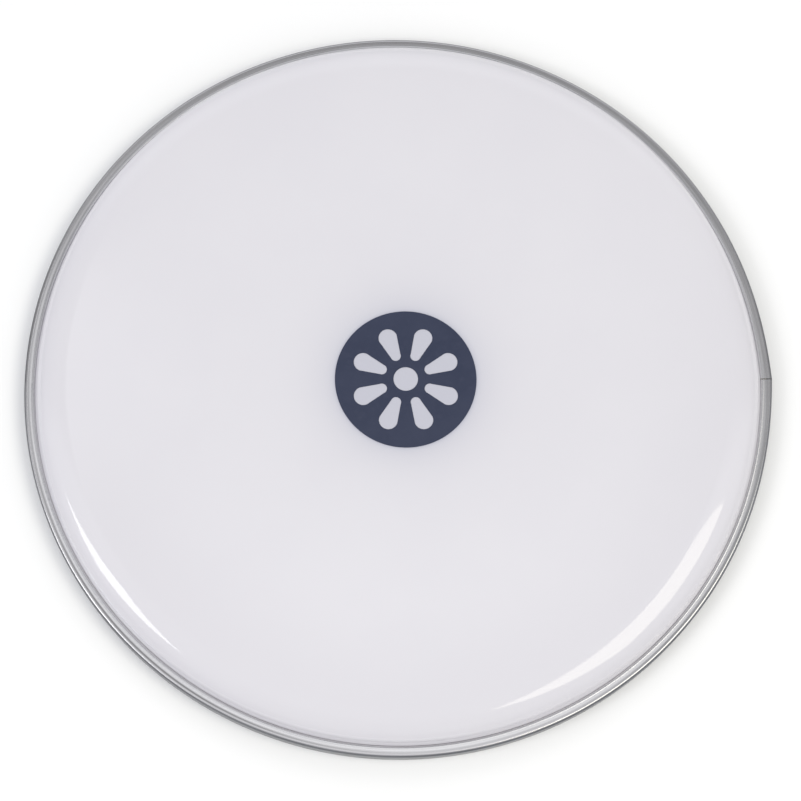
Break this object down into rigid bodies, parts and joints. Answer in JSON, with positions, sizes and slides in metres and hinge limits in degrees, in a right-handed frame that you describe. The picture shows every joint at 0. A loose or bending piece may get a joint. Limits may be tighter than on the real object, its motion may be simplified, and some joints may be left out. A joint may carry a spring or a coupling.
{
  "type": "drum head",
  "caption": "Bare drum head: a formed white plastic film with a rounded shoulder, its edge cast into a thin aluminium channel hoop that lies flat on its bottom face.",
  "frame": {"origin": "centre of the hoop's bottom face, which the head lies on", "axes": "+Z is the head's own axis, from the open underside towards the playing surface; the hoop's seam is next to +X"},
  "size_m": [0.3206, 0.3192, 0.0196],
  "materials": {
    "film": "smooth glossy milky white polyester film",
    "hoop_metal": "bright roll-formed aluminium with fine lines along the hoop",
    "resin": "cast resin, slightly rough",
    "key_metal": "plain rolled aluminium strip",
    "badge_ink": "smooth dark blue screen-printed ink"
  },
  "bodies": {
    "root": {"drumhead_film": "film", "flesh_hoop": "hoop_metal", "locking_resin": "resin", "splice_key": "key_metal", "printed_badge": "badge_ink"}
  },
  "joints": []
}
